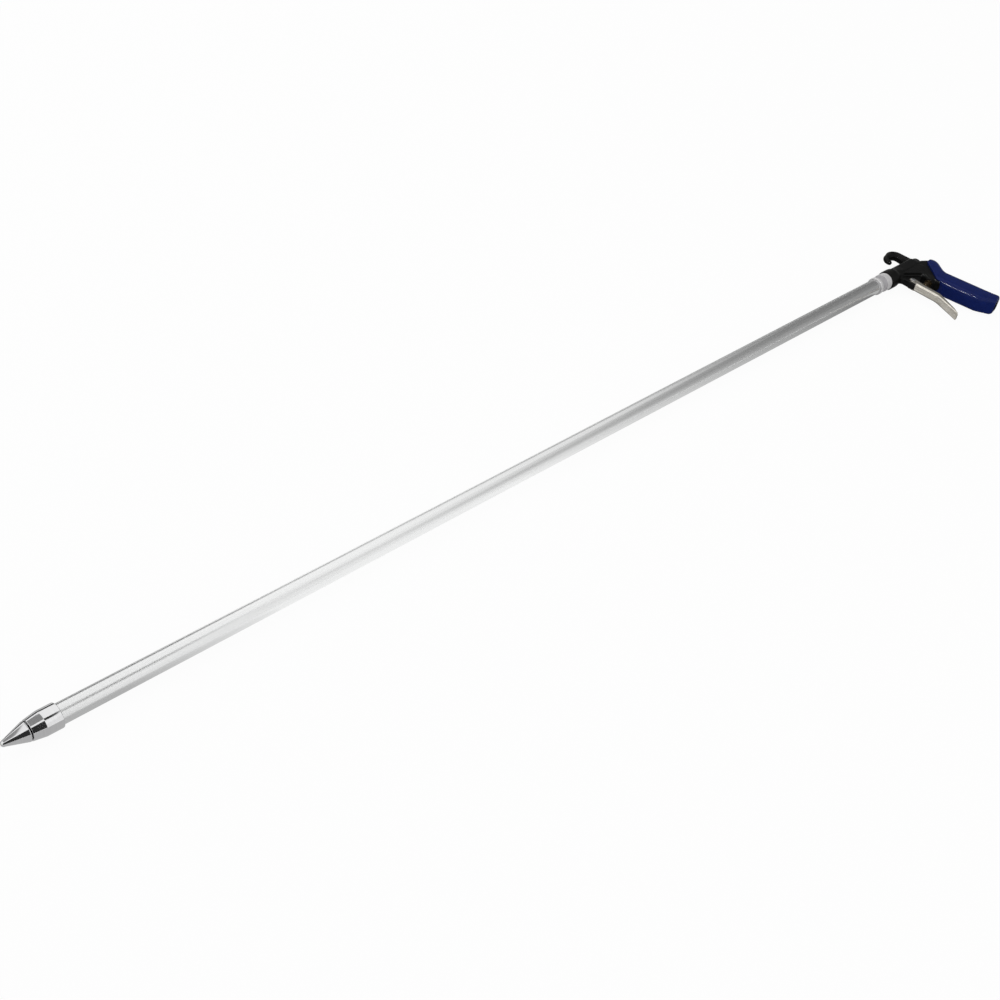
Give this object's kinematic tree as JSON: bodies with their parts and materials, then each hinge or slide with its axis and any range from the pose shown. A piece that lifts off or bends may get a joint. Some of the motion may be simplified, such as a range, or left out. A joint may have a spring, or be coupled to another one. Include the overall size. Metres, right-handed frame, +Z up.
{
  "type": "long-reach air blow gun",
  "caption": "Long-reach compressed-air blow gun: straight metal tube with a cone nozzle, hanging hook, sleeved pistol grip and a lever trigger that opens a spring-returned poppet valve",
  "frame": {"origin": "on the surface that the gun lies on, straight under the centre of the barrel's front face, where the side of the barrel's boss touches down", "axes": "+X runs along the tube's axis from the nozzle to the back of the barrel, +Y from the grip's end towards the hanging hook, +Z up from the surface, across the gun"},
  "size_m": [1.3482, 0.1573, 0.0247],
  "materials": {
    "body_black": "black satin paint on a zinc casting",
    "plug_black": "black oxide on a turned steel plug",
    "grip_blue": "navy blue semi-gloss vinyl sleeve",
    "lever_nickel": "nickel-plated pressed steel",
    "steel": "bright turned steel",
    "brass": "turned brass",
    "rubber_black": "black nitrile rubber",
    "bushing_aluminium": "turned aluminium, bright",
    "tube_aluminium": "drawn aluminium, satin with lengthwise lines",
    "nozzle_aluminium": "turned and polished aluminium"
  },
  "bodies": {
    "gun": {"gun_body": "body_black", "grip_sleeve": "grip_blue", "trigger_pin": "steel", "pin_clip": "steel", "valve_bush": "brass", "bush_seal": "rubber_black", "stem_seal": "rubber_black", "valve_spring": "steel", "rear_plug": "plug_black", "plug_seal": "rubber_black", "rear_bushing": "bushing_aluminium", "bushing_seal": "rubber_black", "rear_tube_seal": "rubber_black", "extension_tube": "tube_aluminium", "nozzle_collar": "nozzle_aluminium", "front_tube_seal": "rubber_black", "nozzle_spider": "nozzle_aluminium", "nozzle_cone": "nozzle_aluminium", "cone_nut": "steel", "inlet_screen": "brass", "screen_ring": "steel"},
    "trigger": {"trigger_lever": "lever_nickel"},
    "valve": {"valve_stem": "steel", "poppet_washer": "rubber_black"}
  },
  "joints": [
    {"name": "trigger_pivot", "type": "hinge", "parent": "gun", "child": "trigger", "pos_m": [0.0273, -0.0235, 0.01235], "axis": [0, 0, 1], "range_deg": [0, 12], "stiffness_Nm_per_rad": 0.45, "springref_deg": -11.46},
    {"name": "valve_slide", "type": "slide", "parent": "gun", "child": "valve", "axis": [1, 0, 0], "range_m": [0, 0.0027], "deforming": ["valve_spring"]}
  ],
  "couplings": [
    {"joint": "valve_slide", "follows": "trigger_pivot", "m_per_rad": 0.0125}
  ]
}
